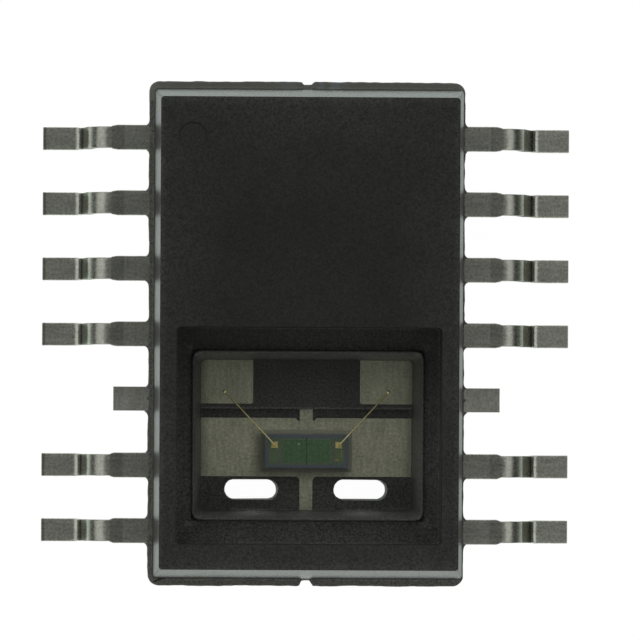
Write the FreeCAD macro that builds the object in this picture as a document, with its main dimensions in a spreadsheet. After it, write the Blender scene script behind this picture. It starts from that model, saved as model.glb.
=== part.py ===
"""Open-cavity sensor in a small-outline package: moulded body, stamped leadframe, two chips and their wires.

Millimetres. X runs across the package from lead row to lead row, Y along it, Z up from the board.
The origin is the middle of the package on the board, which is the plane of the feet.
"""

import FreeCAD, Part
import math
import os
import Sketcher

doc = FreeCAD.newDocument("soic_sensor")

# Driving sizes, in millimetres and degrees
SIZES = {
    # leadframe strip
    "pitch": 1.27,
    "frame_thickness": 0.20,
    "shoulder_width": 0.465,
    "shoulder_reach": 0.78,
    "narrowing": 0.07,
    "leg_width": 0.39,
    "leg_lean": 8.0,
    "shoulder_bend": 0.30,
    "foot_bend": 0.17,
    "foot_flat": 0.62,
    "foot_width": 0.416,
    # moulded body, outside
    "standoff": 0.15,
    "lower_height": 0.90,
    "upper_height": 1.85,
    "body_width": 6.00,
    "end_margin": 0.915,
    "upper_side_draft": 0.125,
    "upper_end_draft": 0.20,
    "lower_draft": 0.11,
    "body_corner": 0.12,
    "flange_side": 0.05,
    "flange_end": 0.16,
    "flange_corner": 0.17,
    "index_diameter": 0.55,
    "index_depth": 0.02,
    "index_from_side": 0.615,
    "index_from_end": 0.755,
    "ejector_diameter": 0.70,
    "ejector_depth": 0.02,
    "ejector_from_end": 0.70,
    "index_notch_depth": 0.055,
    "index_notch_flare": 0.035,
    "cavity_notch_depth": 0.11,
    "cavity_notch_flare": 0.05,
    # cavity in the moulding
    "side_wall": 0.33,
    "recess_depth": 0.97,
    "recess_corner": 0.08,
    "ledge_side": 0.30,
    "ledge_end": 0.435,
    "lip_height": 0.15,
    "lip_land": 0.06,
    "lip_corner": 0.20,
    "lip_round": 0.025,
    "wall_run": 0.135,
    "floor_corner": 0.10,
    "floor_above_pads": 0.76,
    "step_gap": 0.105,
    "slot_length": 1.05,
    "slot_width": 0.41,
    "slot_draft": 1.3,
    "slot_spacing": 2.12,
    "slot_gap": 0.05,
    "slot_wall": 0.195,
    # bond pads on the two cut leads
    "pad_width": 1.013,
    "pad_drop": 0.085,
    "pad_anchor": 0.21,
    "pad_side_anchor": 0.25,
    "pad_taper": 0.20,
    "pad_corner": 0.04,
    "tongue_width": 0.41,
    "tongue_length": 0.45,
    # inner ends of the other leads
    "finger_width": 0.30,
    "finger_pitch": 0.70,
    "finger_gap": 0.30,
    "finger_root": 0.35,
    "anchor_depth": 0.55,
    "anchor_neck": 0.25,
    "anchor_width": 0.70,
    # paddle that carries both chips
    "downset": 0.15,
    "paddle_gap": 0.17,
    "paddle_length": 1.135,
    "paddle_anchor": 0.20,
    "chip_paddle_width": 2.20,
    "chip_paddle_length": 2.20,
    "tie_width": 0.25,
    "tie_end_width": 0.16,
    "tie_fillet": 0.09,
    "relief_width": 0.08,
    "relief_depth": 0.05,
    "ramp_start": 0.35,
    "ramp_run": 0.35,
    # sensor die
    "sensor_width": 1.61,
    "sensor_length": 0.65,
    "sensor_thickness": 0.30,
    "sensor_above_edge": 0.17,
    # signal chip
    "chip_width": 1.50,
    "chip_length": 1.50,
    "chip_thickness": 0.28,
    # adhesive under both
    "glue_film": 0.03,
    "glue_height": 0.10,
    "glue_spread": 0.08,
    "glue_rim": 0.02,
    # bond wires
    "wire_diameter": 0.03,
    "ball_diameter": 0.12,
    "ball_height": 0.05,
    "stitch_diameter": 0.10,
    "stitch_height": 0.035,
    "loop_height": 0.20,
    "loop_bend": 0.06,
    "sensor_bond_inset_x": 0.185,
    "sensor_bond_inset_y": 0.205,
    "pad_bond_inset_x": 0.55,
    "pad_bond_inset_y": 0.233,
    "chip_bond_inset": 0.10,
    "chip_bond_pitch": 0.35,
    "finger_bond_inset": 0.14,
    "tongue_bond_inset": 0.13,
}

ROWS = 7
CUT = 4  # the row, counted from 0 at the index mark's end, whose two leads are cut short
BONDED_ROWS = 4  # the rows beside the signal chip, whose leads are wired to it
WIRE_SIDES = 6  # a wire and its two bonds have six sides, which keeps their facets few
OVERSIZE = 4  # how many times the package a profile is extruded before its blank trims it
MIDDLE_ROW = (ROWS - 1) / 2
MIDDLE_BONDED_ROW = (BONDED_ROWS - 1) / 2

sheet = doc.addObject("Spreadsheet::Sheet", "Sizes")
for row, (alias, size) in enumerate(SIZES.items(), start=1):
    sheet.set(f"A{row}", alias)
    sheet.set(f"B{row}", str(size))
    sheet.setAlias(f"B{row}", alias)
doc.recompute()


def of_sheet(text):
    """The expression with each size's name turned into a reference to its cell."""
    words = []
    word = ""
    for letter in text + " ":
        if letter.isalnum() or letter == "_":
            word += letter
            continue
        words.append(f"Sizes.{word}" if word in SIZES else word)
        words.append(letter)
        word = ""
    return "".join(words).strip()


def number(text):
    """What an expression of the sizes comes to."""
    return float(sheet.evalExpression(of_sheet(text)))


def bind(thing, path, text):
    thing.setExpression(path, of_sheet(text))


# Levels above the board
BODY_UNDER = "standoff"
FRAME_UNDER = "(standoff + lower_height)"
FRAME_TOP = f"({FRAME_UNDER} + frame_thickness)"
BODY_TOP = f"({FRAME_TOP} + upper_height)"
LEDGE = f"({BODY_TOP} - recess_depth)"
LIP_TOP = f"({LEDGE} + lip_height)"
PADDLE_TOP = f"({FRAME_TOP} - downset)"
PADDLE_UNDER = f"({PADDLE_TOP} - frame_thickness)"
SENSOR_TOP = f"({PADDLE_TOP} + glue_film + sensor_thickness)"
CHIP_TOP = f"({PADDLE_TOP} + glue_film + chip_thickness)"

# Lengths and widths of the moulding
BODY_LENGTH = f"({ROWS - 1} * pitch + 2 * end_margin)"
TOP_WIDTH = "(body_width - 2 * upper_side_draft)"
TOP_LENGTH = f"({BODY_LENGTH} - 2 * upper_end_draft)"
FLANGE_HALF_WIDTH = "(body_width / 2 + flange_side)"
FLANGE_HALF_LENGTH = f"({BODY_LENGTH} / 2 + flange_end)"

# Places along the cavity, from the row of the cut leads down to its lower end
CUT_ROW = f"({MIDDLE_ROW - CUT} * pitch)"
FLOOR_UPPER = f"({CUT_ROW} + floor_above_pads)"
PAD_LOWER = f"({CUT_ROW} - pad_drop)"
STEP = f"({PAD_LOWER} - step_gap)"
PADDLE_UPPER = f"({STEP} - paddle_gap)"
PADDLE_LOWER = f"({PADDLE_UPPER} - paddle_length)"
SLOT_ROW = f"({PADDLE_LOWER} - slot_gap - slot_width / 2)"
FLOOR_LOWER = f"({SLOT_ROW} - slot_width / 2 - slot_wall)"
FLOOR_MIDDLE = f"(({FLOOR_UPPER} + {FLOOR_LOWER}) / 2)"

# Cavity outlines, from the moulding's top down to its floor
RECESS_WIDTH = f"({TOP_WIDTH} - 2 * side_wall)"
LIP_WIDTH = f"({RECESS_WIDTH} - 2 * ledge_side)"
MOUTH_WIDTH = f"({LIP_WIDTH} - 2 * lip_land)"
FLOOR_WIDTH = f"({MOUTH_WIDTH} - 2 * wall_run)"
FLOOR_LENGTH = f"({FLOOR_UPPER} - {FLOOR_LOWER})"
MOUTH_LENGTH = f"({FLOOR_LENGTH} + 2 * wall_run)"
LIP_LENGTH = f"({MOUTH_LENGTH} + 2 * lip_land)"
RECESS_LENGTH = f"({LIP_LENGTH} + 2 * ledge_end)"
PAD_INNER = f"({FLOOR_WIDTH} / 2 - pad_width)"

# The formed lead, from the package side out to its tip
TURN_TANGENT = "tan(45 - leg_lean / 2)"
BEND_START = "(body_width / 2 + shoulder_reach)"
SHOULDER_CORNER = f"({BEND_START} + (shoulder_bend + frame_thickness) * {TURN_TANGENT})"
FOOT_CORNER = f"({SHOULDER_CORNER} + ({FRAME_TOP} - frame_thickness) * tan(leg_lean))"
LEAD_TIP = f"({FOOT_CORNER} + foot_bend * {TURN_TANGENT} + foot_flat)"
NARROW_START = "(body_width / 2 + shoulder_reach - narrowing / 2)"
LEG_START = "(body_width / 2 + shoulder_reach + narrowing / 2)"

# The hidden half of the leadframe
CHIP_MIDDLE = f"({MIDDLE_ROW - MIDDLE_BONDED_ROW} * pitch)"
CHIP_PADDLE_LOWER = f"({CHIP_MIDDLE} - chip_paddle_length / 2)"
CHIP_PADDLE_UPPER = f"({CHIP_MIDDLE} + chip_paddle_length / 2)"
FINGER_TIP = "(chip_paddle_width / 2 + finger_gap)"
FINGER_ROOT = "(body_width / 2 - finger_root)"
TIE_UPPER_END = f"({FLANGE_HALF_LENGTH} - index_notch_depth)"
TIE_LOWER_END = f"(cavity_notch_depth - {FLANGE_HALF_LENGTH})"
SENSOR_MIDDLE = f"({PADDLE_LOWER} + sensor_above_edge + sensor_length / 2)"


def corner_turn(before, corner, after):
    """Unit vectors from a corner to its neighbours, and half the angle between them."""
    back = (before - corner).normalize()
    ahead = (after - corner).normalize()
    half = back.getAngle(ahead) / 2
    return back, ahead, half


def draw(sketch, corners, closed=True):
    """Lines through the corners. A corner is (x, y) or (x, y, radius), each an expression of the sizes."""
    places = [FreeCAD.Vector(number(c[0]), number(c[1]), 0) for c in corners]
    count = len(corners)
    rounds = {i: number(c[2]) for i, c in enumerate(corners) if len(c) == 3}
    starts = list(places)
    ends = list(places)
    arcs = {}
    for i, radius in rounds.items():
        back, ahead, half = corner_turn(places[i - 1], places[i], places[(i + 1) % count])
        reach = radius / math.tan(half)
        ends[i] = places[i] + back * reach
        starts[i] = places[i] + ahead * reach
        centre = places[i] + (back + ahead).normalize() * (radius / math.sin(half))
        arcs[i] = (centre, radius)
    lines = {}
    runs = count if closed else count - 1
    for i in range(runs):
        lines[i] = sketch.addGeometry(Part.LineSegment(starts[i], ends[(i + 1) % count]))
    rules = []
    bound = []
    first_rule = sketch.ConstraintCount

    def place(geometry, point, corner):
        bound.append((first_rule + len(rules), corner[0]))
        rules.append(Sketcher.Constraint("DistanceX", -1, 1, geometry, point, number(corner[0])))
        bound.append((first_rule + len(rules), corner[1]))
        rules.append(Sketcher.Constraint("DistanceY", -1, 1, geometry, point, number(corner[1])))

    for i, corner in enumerate(corners):
        into = lines.get((i - 1) % count)
        out = lines.get(i)
        if i not in arcs:
            if out is not None:
                place(out, 1, corner)
            if into is not None and out is not None:
                rules.append(Sketcher.Constraint("Coincident", into, 2, out, 1))
            elif out is None:
                place(into, 2, corner)
            continue
        centre, radius = arcs[i]
        first = math.atan2(ends[i].y - centre.y, ends[i].x - centre.x)
        last = math.atan2(starts[i].y - centre.y, starts[i].x - centre.x)
        left = (ends[i] - centre).cross(starts[i] - centre).z > 0
        circle = Part.Circle(centre, FreeCAD.Vector(0, 0, 1), radius)
        spread = (first, last) if left else (last, first)
        arc = sketch.addGeometry(Part.ArcOfCircle(circle, *spread))
        point = sketch.addGeometry(Part.Point(places[i]), True)
        place(point, 1, corner)
        rules.append(Sketcher.Constraint("PointOnObject", point, 1, into))
        rules.append(Sketcher.Constraint("PointOnObject", point, 1, out))
        rules.append(Sketcher.Constraint("Tangent", into, 2, arc, 1 if left else 2))
        rules.append(Sketcher.Constraint("Tangent", arc, 2 if left else 1, out, 1))
        bound.append((first_rule + len(rules), corner[2]))
        rules.append(Sketcher.Constraint("Radius", arc, radius))
    sketch.addConstraint(rules)
    for index, text in bound:
        bind(sketch, f"Constraints[{index}]", text)


def draw_circle(sketch, x, y, diameter):
    place = FreeCAD.Vector(number(x), number(y), 0)
    circle = Part.Circle(place, FreeCAD.Vector(0, 0, 1), number(diameter) / 2)
    circle_id = sketch.addGeometry(circle)
    rules = [
        Sketcher.Constraint("DistanceX", -1, 1, circle_id, 3, number(x)),
        Sketcher.Constraint("DistanceY", -1, 1, circle_id, 3, number(y)),
        Sketcher.Constraint("Diameter", circle_id, number(diameter)),
    ]
    first = sketch.ConstraintCount
    sketch.addConstraint(rules)
    for index, text in enumerate((x, y, diameter)):
        bind(sketch, f"Constraints[{first + index}]", text)


def draw_slot(sketch, x, y, length, width):
    """A slot along X with round ends."""
    middle = FreeCAD.Vector(number(x), number(y), 0)
    radius = number(width) / 2
    reach = number(length) / 2 - radius
    up = FreeCAD.Vector(0, 0, 1)
    right = middle + FreeCAD.Vector(reach, 0, 0)
    left = middle - FreeCAD.Vector(reach, 0, 0)
    rise = FreeCAD.Vector(0, radius, 0)
    first = sketch.ConstraintCount
    quarter = math.pi / 2
    end = sketch.addGeometry(Part.ArcOfCircle(Part.Circle(right, up, radius), -quarter, quarter))
    over = sketch.addGeometry(Part.LineSegment(right + rise, left + rise))
    start = sketch.addGeometry(Part.ArcOfCircle(Part.Circle(left, up, radius), quarter, 3 * quarter))
    under = sketch.addGeometry(Part.LineSegment(left - rise, right - rise))
    rules = [
        Sketcher.Constraint("DistanceX", -1, 1, end, 3, number(f"{x} + ({length} - {width}) / 2")),
        Sketcher.Constraint("DistanceY", -1, 1, end, 3, number(y)),
        Sketcher.Constraint("DistanceX", -1, 1, start, 3, number(f"{x} - ({length} - {width}) / 2")),
        Sketcher.Constraint("Diameter", end, number(width)),
        Sketcher.Constraint("Tangent", end, 2, over, 1),
        Sketcher.Constraint("Tangent", over, 2, start, 1),
        Sketcher.Constraint("Tangent", start, 2, under, 1),
        Sketcher.Constraint("Tangent", under, 2, end, 1),
        Sketcher.Constraint("Horizontal", over),
    ]
    sketch.addConstraint(rules)
    bind(sketch, f"Constraints[{first}]", f"{x} + ({length} - {width}) / 2")
    bind(sketch, f"Constraints[{first + 1}]", y)
    bind(sketch, f"Constraints[{first + 2}]", f"{x} - ({length} - {width}) / 2")
    bind(sketch, f"Constraints[{first + 3}]", width)


def rectangle(width, length, middle="0", radius=None):
    """The corners of a rectangle about X = 0, anticlockwise, each rounded if a radius is given."""
    ends = [("-", "-"), ("", "-"), ("", ""), ("-", "")]
    corners = []
    for across, along in ends:
        x = f"{across}({width}) / 2"
        y = f"{middle} {along or '+'} ({length}) / 2"
        corners.append((x, y, radius) if radius else (x, y))
    return corners


def ring(x, radius):
    """The corners of a wire's section, or of a bond's outline, about the point x on the X axis."""
    corners = []
    for index in range(WIRE_SIDES):
        angle = 360 / WIRE_SIDES * (index + 0.5)
        corners.append((f"{x} + {radius} * cos({angle})", f"{radius} * sin({angle})"))
    return corners


# Sketches and features inside a body


def plane_of(body, role):
    return next(f for f in body.Origin.OriginFeatures if f.Role == role)


def body_sketch(body, name, level="0", role="XY_Plane"):
    """A sketch on one of the body's own planes, raised to a level."""
    sketch = body.newObject("Sketcher::SketchObject", name)
    sketch.AttachmentSupport = (plane_of(body, role), [""])
    sketch.MapMode = "FlatFace"
    bind(sketch, "AttachmentOffset.Base.z", level)
    return sketch


def new_body(name):
    body = doc.addObject("PartDesign::Body", name)
    body.Label = name
    return body


def pad(body, name, corners, level, height):
    sketch = body_sketch(body, f"{name}_outline", level)
    draw(sketch, corners)
    feature = body.newObject("PartDesign::Pad", name)
    feature.Profile = sketch
    bind(feature, "Length", height)
    return feature


def pocket(body, name, level, depth, draw_outline):
    """A pocket that goes down from a level."""
    sketch = body_sketch(body, f"{name}_outline", level)
    draw_outline(sketch)
    feature = body.newObject("PartDesign::Pocket", name)
    feature.Profile = sketch
    bind(feature, "Length", depth)
    return feature


def loft(body, name, kind, sections):
    """A straight-walled loft through outlines, each given as (level, corners)."""
    sketches = []
    for index, (level, corners) in enumerate(sections):
        sketch = body_sketch(body, f"{name}_outline_{index}", level)
        draw(sketch, corners)
        sketches.append(sketch)
    feature = body.newObject(kind, name)
    feature.Profile = sketches[0]
    feature.Sections = sketches[1:]
    feature.Ruled = True
    return feature


# Stamped and formed strips: a side profile and a flat blank, and what the two have in common


def loose_sketch(name, placement):
    sketch = doc.addObject("Sketcher::SketchObject", name)
    sketch.Placement = placement
    return sketch


def extrude(name, sketch, direction, length):
    feature = doc.addObject("Part::Extrusion", name)
    feature.Base = sketch
    feature.DirMode = "Custom"
    feature.Dir = direction
    feature.Solid = True
    feature.Symmetric = True
    bind(feature, "LengthFwd", length)
    return feature


FACING_Y = FreeCAD.Placement(FreeCAD.Vector(), FreeCAD.Rotation(FreeCAD.Vector(1, 0, 0), 90))
FACING_X = FreeCAD.Placement(FreeCAD.Vector(), FreeCAD.Rotation(0.5, 0.5, 0.5, 0.5))


def formed(name, side, side_placement, side_direction, breadth, blank):
    """One stamped and bent piece of the leadframe."""
    profile = loose_sketch(f"{name}_side", side_placement)
    draw(profile, side)
    strip = extrude(f"{name}_strip", profile, FreeCAD.Vector(*side_direction), breadth)
    outline = loose_sketch(f"{name}_blank_outline", FreeCAD.Placement())
    draw(outline, blank)
    flat = extrude(f"{name}_blank", outline, FreeCAD.Vector(0, 0, 1), f"{OVERSIZE} * {BODY_TOP}")
    piece = doc.addObject("Part::Common", f"{name}_piece")
    piece.Base = strip
    piece.Tool = flat
    piece.Label = name
    return piece


def on_side(side, x):
    """A distance from the middle, on the left (-1) or the right (1)."""
    return x if side > 0 else f"-({x})"


def row_place(row):
    return f"({MIDDLE_ROW - row} * pitch)"


def finger_tip_place(row):
    return f"({CHIP_MIDDLE} + {MIDDLE_BONDED_ROW - row} * finger_pitch)"


def gull_wing_side(side, inner_end):
    """Side view of a lead: flat shoulder, leg and foot, with the bends' radii."""
    outer_bend = "shoulder_bend + frame_thickness"
    heel_bend = "foot_bend + frame_thickness"
    shoulder_inner = f"({SHOULDER_CORNER} - frame_thickness * {TURN_TANGENT})"
    heel = f"({FOOT_CORNER} - frame_thickness * {TURN_TANGENT})"
    return [
        (on_side(side, inner_end), FRAME_UNDER),
        (on_side(side, shoulder_inner), FRAME_UNDER, "shoulder_bend"),
        (on_side(side, heel), "0", heel_bend),
        (on_side(side, LEAD_TIP), "0"),
        (on_side(side, LEAD_TIP), "frame_thickness"),
        (on_side(side, FOOT_CORNER), "frame_thickness", "foot_bend"),
        (on_side(side, SHOULDER_CORNER), FRAME_TOP, outer_bend),
        (on_side(side, inner_end), FRAME_TOP),
    ]


def mirrored_band(stations):
    """A closed outline, along one edge and back along the other. A station is (x, middle y, half width)."""
    upper = [(x, f"{middle} + {half}") for x, middle, half in stations]
    lower = [(x, f"{middle} - {half}") for x, middle, half in reversed(stations)]
    return upper + lower


def outer_stations(side, row):
    """The part of a lead that shows, from its tip in to the package side."""
    middle = row_place(row)
    foot_start = f"({FOOT_CORNER} + foot_bend * {TURN_TANGENT} / 2)"
    return [
        (on_side(side, LEAD_TIP), middle, "foot_width / 2"),
        (on_side(side, foot_start), middle, "foot_width / 2"),
        (on_side(side, FOOT_CORNER), middle, "leg_width / 2"),
        (on_side(side, LEG_START), middle, "leg_width / 2"),
        (on_side(side, NARROW_START), middle, "shoulder_width / 2"),
    ]


def formed_lead(name, side_view, stations):
    breadth = f"{OVERSIZE} * {BODY_LENGTH}"
    return formed(name, side_view, FACING_Y, (0, 1, 0), breadth, mirrored_band(stations))


def bonded_lead(name, side, row):
    """A lead whose inner finger runs up to the signal chip."""
    stations = outer_stations(side, row)
    stations.append((on_side(side, FINGER_ROOT), row_place(row), "shoulder_width / 2"))
    stations.append((on_side(side, FINGER_TIP), finger_tip_place(row), "finger_width / 2"))
    return formed_lead(name, gull_wing_side(side, FINGER_TIP), stations)


def anchored_lead(name, side, row):
    """A lead with no connection: its inner end is a short T that the moulding holds."""
    inner = "(body_width / 2 - anchor_depth)"
    neck = "(body_width / 2 - anchor_depth + anchor_neck)"
    stations = outer_stations(side, row)
    stations.append((on_side(side, neck), row_place(row), "shoulder_width / 2"))
    stations.append((on_side(side, neck), row_place(row), "anchor_width / 2"))
    stations.append((on_side(side, inner), row_place(row), "anchor_width / 2"))
    return formed_lead(name, gull_wing_side(side, inner), stations)


def cut_lead(name, side):
    """A lead trimmed before its bend, whose inner end is a bond pad in the cavity."""
    upper = f"{CUT_ROW} + shoulder_width / 2"
    lower = f"{CUT_ROW} - shoulder_width / 2"
    pad_outer = f"({FLOOR_WIDTH} / 2 + pad_side_anchor)"
    pad_upper = f"({FLOOR_UPPER} + pad_anchor)"
    tongue = f"({PAD_INNER} + tongue_width)"
    corners = [
        (NARROW_START, lower),
        (NARROW_START, upper),
        (pad_outer, upper),
        (pad_outer, pad_upper),
        (tongue, pad_upper),
        (tongue, f"{pad_upper} + tongue_length"),
        (PAD_INNER, f"{pad_upper} + tongue_length"),
        (PAD_INNER, PAD_LOWER, "pad_corner"),
        (pad_outer, PAD_LOWER),
        (f"{pad_outer} + pad_taper", lower),
    ]
    blank = [(on_side(side, c[0]),) + c[1:] for c in corners]
    body = new_body(name)
    pad(body, f"{name}_blank", blank, FRAME_UNDER, "frame_thickness")
    return body


def die_paddle():
    """The strip that carries both chips, set down below the leads between its two tie bars."""
    lower_ramp = f"({TIE_LOWER_END} + ramp_start)"
    lower_flat = f"({lower_ramp} + ramp_run)"
    upper_ramp = f"({TIE_UPPER_END} - ramp_start)"
    upper_flat = f"({upper_ramp} - ramp_run)"
    side = [
        (TIE_LOWER_END, FRAME_UNDER),
        (lower_ramp, FRAME_UNDER),
        (lower_flat, PADDLE_UNDER),
        (upper_flat, PADDLE_UNDER),
        (upper_ramp, FRAME_UNDER),
        (TIE_UPPER_END, FRAME_UNDER),
        (TIE_UPPER_END, FRAME_TOP),
        (upper_ramp, FRAME_TOP),
        (upper_flat, PADDLE_TOP),
        (lower_flat, PADDLE_TOP),
        (lower_ramp, FRAME_TOP),
        (TIE_LOWER_END, FRAME_TOP),
    ]
    half_paddle = f"({FLOOR_WIDTH} / 2 + paddle_anchor)"
    relief_outer = "tie_width / 2 + relief_width"
    right = [
        ("tie_end_width / 2", TIE_LOWER_END),
        ("tie_end_width / 2", f"{FLOOR_LOWER} - wall_run"),
        ("tie_width / 2", FLOOR_LOWER),
        ("tie_width / 2", PADDLE_LOWER, "tie_fillet"),
        (half_paddle, PADDLE_LOWER),
        (half_paddle, PADDLE_UPPER),
        (relief_outer, PADDLE_UPPER),
        ("tie_width / 2 + relief_width / 2", f"{PADDLE_UPPER} - relief_depth"),
        ("tie_width / 2", f"{PADDLE_UPPER} - relief_depth"),
        ("tie_width / 2", CHIP_PADDLE_LOWER),
        ("chip_paddle_width / 2", CHIP_PADDLE_LOWER),
        ("chip_paddle_width / 2", CHIP_PADDLE_UPPER),
        ("tie_width / 2", CHIP_PADDLE_UPPER),
        ("tie_width / 2", upper_flat),
        ("tie_end_width / 2", upper_ramp),
        ("tie_end_width / 2", TIE_UPPER_END),
    ]
    left = [(f"-({x})", y, *radius) for x, y, *radius in reversed(right)]
    return formed("die_paddle", side, FACING_X, (1, 0, 0), f"{OVERSIZE} * body_width", right + left)


def slab(name, width, length, middle, under, thickness):
    body = new_body(name)
    pad(body, f"{name}_block", rectangle(width, length, middle), under, thickness)
    return body


def glue(name, width, length, middle):
    """The adhesive under a chip: a film with a fillet that climbs the chip's sides."""
    foot = rectangle(f"{width} + 2 * glue_spread", f"{length} + 2 * glue_spread", middle)
    rim = rectangle(f"{width} + 2 * glue_rim", f"{length} + 2 * glue_rim", middle)
    top = f"({PADDLE_TOP} + glue_height)"
    body = new_body(name)
    loft(body, f"{name}_bead", "PartDesign::AdditiveLoft", [(PADDLE_TOP, foot), (top, rim)])
    seat = rectangle(width, length, middle)
    pocket(body, f"{name}_seat", top, "glue_height - glue_film", lambda sketch: draw(sketch, seat))
    return body


def button(body, name, x, base, radius, height):
    """A wire's bond: a flat button whose upper half narrows."""
    shoulder = f"({base} + {height} / 2)"
    sections = [
        (base, ring(x, radius)),
        (shoulder, ring(x, radius)),
        (f"({base} + {height})", ring(x, f"({radius} - {height} / 2)")),
    ]
    return loft(body, name, "PartDesign::AdditiveLoft", sections)


def bond_wire(name, start, start_level, end, end_level):
    """A wire with its ball on a chip and its stitch on a lead, drawn in the wire's own upright plane."""
    run_x = f"(({end[0]}) - ({start[0]}))"
    run_y = f"(({end[1]}) - ({start[1]}))"
    length = f"sqrt({run_x} ^ 2 + {run_y} ^ 2)"
    landing = f"({end_level} - {start_level})"
    body = new_body(name)
    body.Placement = FreeCAD.Placement(FreeCAD.Vector(), FreeCAD.Rotation(FreeCAD.Vector(0, 0, 1), 1))
    bind(body, "Placement.Base.x", start[0])
    bind(body, "Placement.Base.y", start[1])
    bind(body, "Placement.Base.z", start_level)
    bind(body, "Placement.Rotation.Angle", f"atan2({run_y}; {run_x})")
    button(body, f"{name}_ball", "0", "0", "(ball_diameter / 2)", "ball_height")
    spine = body_sketch(body, f"{name}_path", "0", "XZ_Plane")
    path = [
        ("0", "ball_height / 2"),
        ("0", "loop_height", "loop_bend"),
        (length, f"{landing} + wire_diameter / 2"),
    ]
    draw(spine, path, closed=False)
    section = body_sketch(body, f"{name}_section", "ball_height / 2")
    draw(section, ring("0", "(wire_diameter / 2)"))
    doc.recompute()
    wire = body.newObject("PartDesign::AdditivePipe", f"{name}_pipe")
    wire.Profile = section
    wire.Spine = (spine, [f"Edge{i + 1}" for i in range(len(spine.Shape.Edges))])
    button(body, f"{name}_stitch", length, landing, "(stitch_diameter / 2)", "stitch_height")
    return body


def sensor_wire(name, side):
    start = (
        on_side(side, "(sensor_width / 2 - sensor_bond_inset_x)"),
        f"({SENSOR_MIDDLE} + sensor_length / 2 - sensor_bond_inset_y)",
    )
    end = (
        on_side(side, f"({PAD_INNER} + pad_bond_inset_x)"),
        f"({PAD_LOWER} + pad_bond_inset_y)",
    )
    return bond_wire(name, start, SENSOR_TOP, end, FRAME_TOP)


def signal_wire(name, side, row):
    """From the edge of the signal chip to the inner finger of a lead."""
    start = (
        on_side(side, "(chip_width / 2 - chip_bond_inset)"),
        f"({CHIP_MIDDLE} + {MIDDLE_BONDED_ROW - row} * chip_bond_pitch)",
    )
    along = f"(finger_bond_inset / ({FINGER_ROOT} - {FINGER_TIP}))"
    end = (
        on_side(side, f"({FINGER_TIP} + finger_bond_inset)"),
        f"({finger_tip_place(row)} + ({row_place(row)} - {finger_tip_place(row)}) * {along})",
    )
    return bond_wire(name, start, CHIP_TOP, end, FRAME_TOP)


def tongue_wire(name, side):
    """From the lower edge of the signal chip to the tongue of a bond pad."""
    start = (
        on_side(side, "chip_bond_pitch"),
        f"({CHIP_MIDDLE} - chip_length / 2 + chip_bond_inset)",
    )
    end = (
        on_side(side, f"({PAD_INNER} + tongue_width / 2)"),
        f"({FLOOR_UPPER} + pad_anchor + tongue_length - tongue_bond_inset)",
    )
    return bond_wire(name, start, CHIP_TOP, end, FRAME_TOP)


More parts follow.
